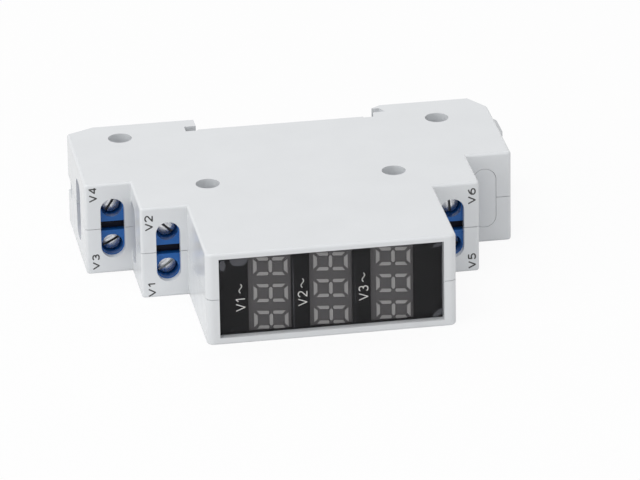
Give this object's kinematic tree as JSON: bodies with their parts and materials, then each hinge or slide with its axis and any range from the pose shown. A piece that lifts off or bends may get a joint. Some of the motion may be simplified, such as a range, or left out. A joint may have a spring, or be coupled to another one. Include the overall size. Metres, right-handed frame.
{
  "type": "din rail voltage indicator",
  "caption": "Slim stepped rail-mount housing with a row of small numeric voltage displays on its nose and screw terminals on its shoulders.",
  "frame": {"origin": "middle of the rail seat, half way through the module's width", "axes": "+X across the rail towards the spring clip, +Y from the display back to the rail, +Z along the rail, upwards as the module lies on its side"},
  "size_m": [0.0811, 0.0625, 0.0176],
  "materials": {
    "housing": "semi-gloss light grey moulding",
    "clip": "semi-gloss light grey moulding",
    "window": "polished smoked sheet",
    "mask": "printed black film",
    "reflector": "matt dark grey",
    "digits": "milky cast resin",
    "board": "green solder mask",
    "terminal_block": "satin blue moulding",
    "screw": "zinc plated",
    "cage": "zinc plated",
    "contact": "tinned",
    "film_capacitor": "satin yellow box",
    "resistor": "lacquered ceramic",
    "varistor": "epoxy coating",
    "capacitor_can": "bare can",
    "chip": "moulded epoxy",
    "crystal": "pressed can"
  },
  "bodies": {
    "housing": {"housing_upper": "housing", "housing_lower": "housing", "blanking_plug": "housing", "front_window": "window", "front_mask": "mask", "display_reflector_1": "reflector", "display_reflector_2": "reflector", "display_reflector_3": "reflector", "display_digits_1": "digits", "display_digits_2": "digits", "display_digits_3": "digits", "display_board": "board", "main_board": "board", "terminal_block_1": "terminal_block", "terminal_block_2": "terminal_block", "terminal_block_3": "terminal_block", "terminal_block_4": "terminal_block", "terminal_block_5": "terminal_block", "terminal_block_6": "terminal_block", "contact_bar_1": "contact", "contact_bar_2": "contact", "contact_bar_3": "contact", "contact_bar_4": "contact", "contact_bar_5": "contact", "contact_bar_6": "contact", "film_capacitor_1": "film_capacitor", "film_capacitor_2": "film_capacitor", "film_capacitor_3": "film_capacitor", "series_resistor_1": "resistor", "series_resistor_2": "resistor", "series_resistor_3": "resistor", "varistor_1": "varistor", "varistor_2": "varistor", "varistor_3": "varistor", "smoothing_capacitor": "capacitor_can", "controller_chip": "chip", "crystal": "crystal", "voltage_regulator": "chip"},
    "rail_clip": {"rail_clip": "clip"},
    "screw_1": {"terminal_screw_1": "screw"},
    "cage_1": {"clamp_cage_1": "cage"},
    "screw_2": {"terminal_screw_2": "screw"},
    "cage_2": {"clamp_cage_2": "cage"},
    "screw_3": {"terminal_screw_3": "screw"},
    "cage_3": {"clamp_cage_3": "cage"},
    "screw_4": {"terminal_screw_4": "screw"},
    "cage_4": {"clamp_cage_4": "cage"},
    "screw_5": {"terminal_screw_5": "screw"},
    "cage_5": {"clamp_cage_5": "cage"},
    "screw_6": {"terminal_screw_6": "screw"},
    "cage_6": {"clamp_cage_6": "cage"}
  },
  "joints": [
    {"name": "clip_slide", "type": "slide", "parent": "housing", "child": "rail_clip", "axis": [1, 0, 0], "range_m": [0, 0.0026], "stiffness_N_per_m": 1500, "springref_m": -0.0006},
    {"name": "cage_lift_1", "type": "slide", "parent": "housing", "child": "cage_1", "axis": [0, -1, 0], "range_m": [0, 0.002]},
    {"name": "screw_turn_1", "type": "hinge", "parent": "housing", "child": "screw_1", "pos_m": [-0.026, -0.0318, -0.0037], "axis": [0, 1, 0], "range_deg": [0, 1600.2]},
    {"name": "cage_lift_2", "type": "slide", "parent": "housing", "child": "cage_2", "axis": [0, -1, 0], "range_m": [0, 0.002]},
    {"name": "screw_turn_2", "type": "hinge", "parent": "housing", "child": "screw_2", "pos_m": [-0.026, -0.0318, 0.0037], "axis": [0, 1, 0], "range_deg": [0, 1600.2]},
    {"name": "cage_lift_3", "type": "slide", "parent": "housing", "child": "cage_3", "axis": [0, -1, 0], "range_m": [0, 0.002]},
    {"name": "screw_turn_3", "type": "hinge", "parent": "housing", "child": "screw_3", "pos_m": [-0.0344, -0.0192, -0.0037], "axis": [0, 1, 0], "range_deg": [0, 1600.2]},
    {"name": "cage_lift_4", "type": "slide", "parent": "housing", "child": "cage_4", "axis": [0, -1, 0], "range_m": [0, 0.002]},
    {"name": "screw_turn_4", "type": "hinge", "parent": "housing", "child": "screw_4", "pos_m": [-0.0344, -0.0192, 0.0037], "axis": [0, 1, 0], "range_deg": [0, 1600.2]},
    {"name": "cage_lift_5", "type": "slide", "parent": "housing", "child": "cage_5", "axis": [0, -1, 0], "range_m": [0, 0.002]},
    {"name": "screw_turn_5", "type": "hinge", "parent": "housing", "child": "screw_5", "pos_m": [0.026, -0.0318, -0.0037], "axis": [0, 1, 0], "range_deg": [0, 1600.2]},
    {"name": "cage_lift_6", "type": "slide", "parent": "housing", "child": "cage_6", "axis": [0, -1, 0], "range_m": [0, 0.002]},
    {"name": "screw_turn_6", "type": "hinge", "parent": "housing", "child": "screw_6", "pos_m": [0.026, -0.0318, 0.0037], "axis": [0, 1, 0], "range_deg": [0, 1600.2]}
  ],
  "couplings": [
    {"joint": "screw_turn_1", "follows": "cage_lift_1", "rad_per_m": 13963},
    {"joint": "screw_turn_2", "follows": "cage_lift_2", "rad_per_m": 13963},
    {"joint": "screw_turn_3", "follows": "cage_lift_3", "rad_per_m": 13963},
    {"joint": "screw_turn_4", "follows": "cage_lift_4", "rad_per_m": 13963},
    {"joint": "screw_turn_5", "follows": "cage_lift_5", "rad_per_m": 13963},
    {"joint": "screw_turn_6", "follows": "cage_lift_6", "rad_per_m": 13963}
  ]
}
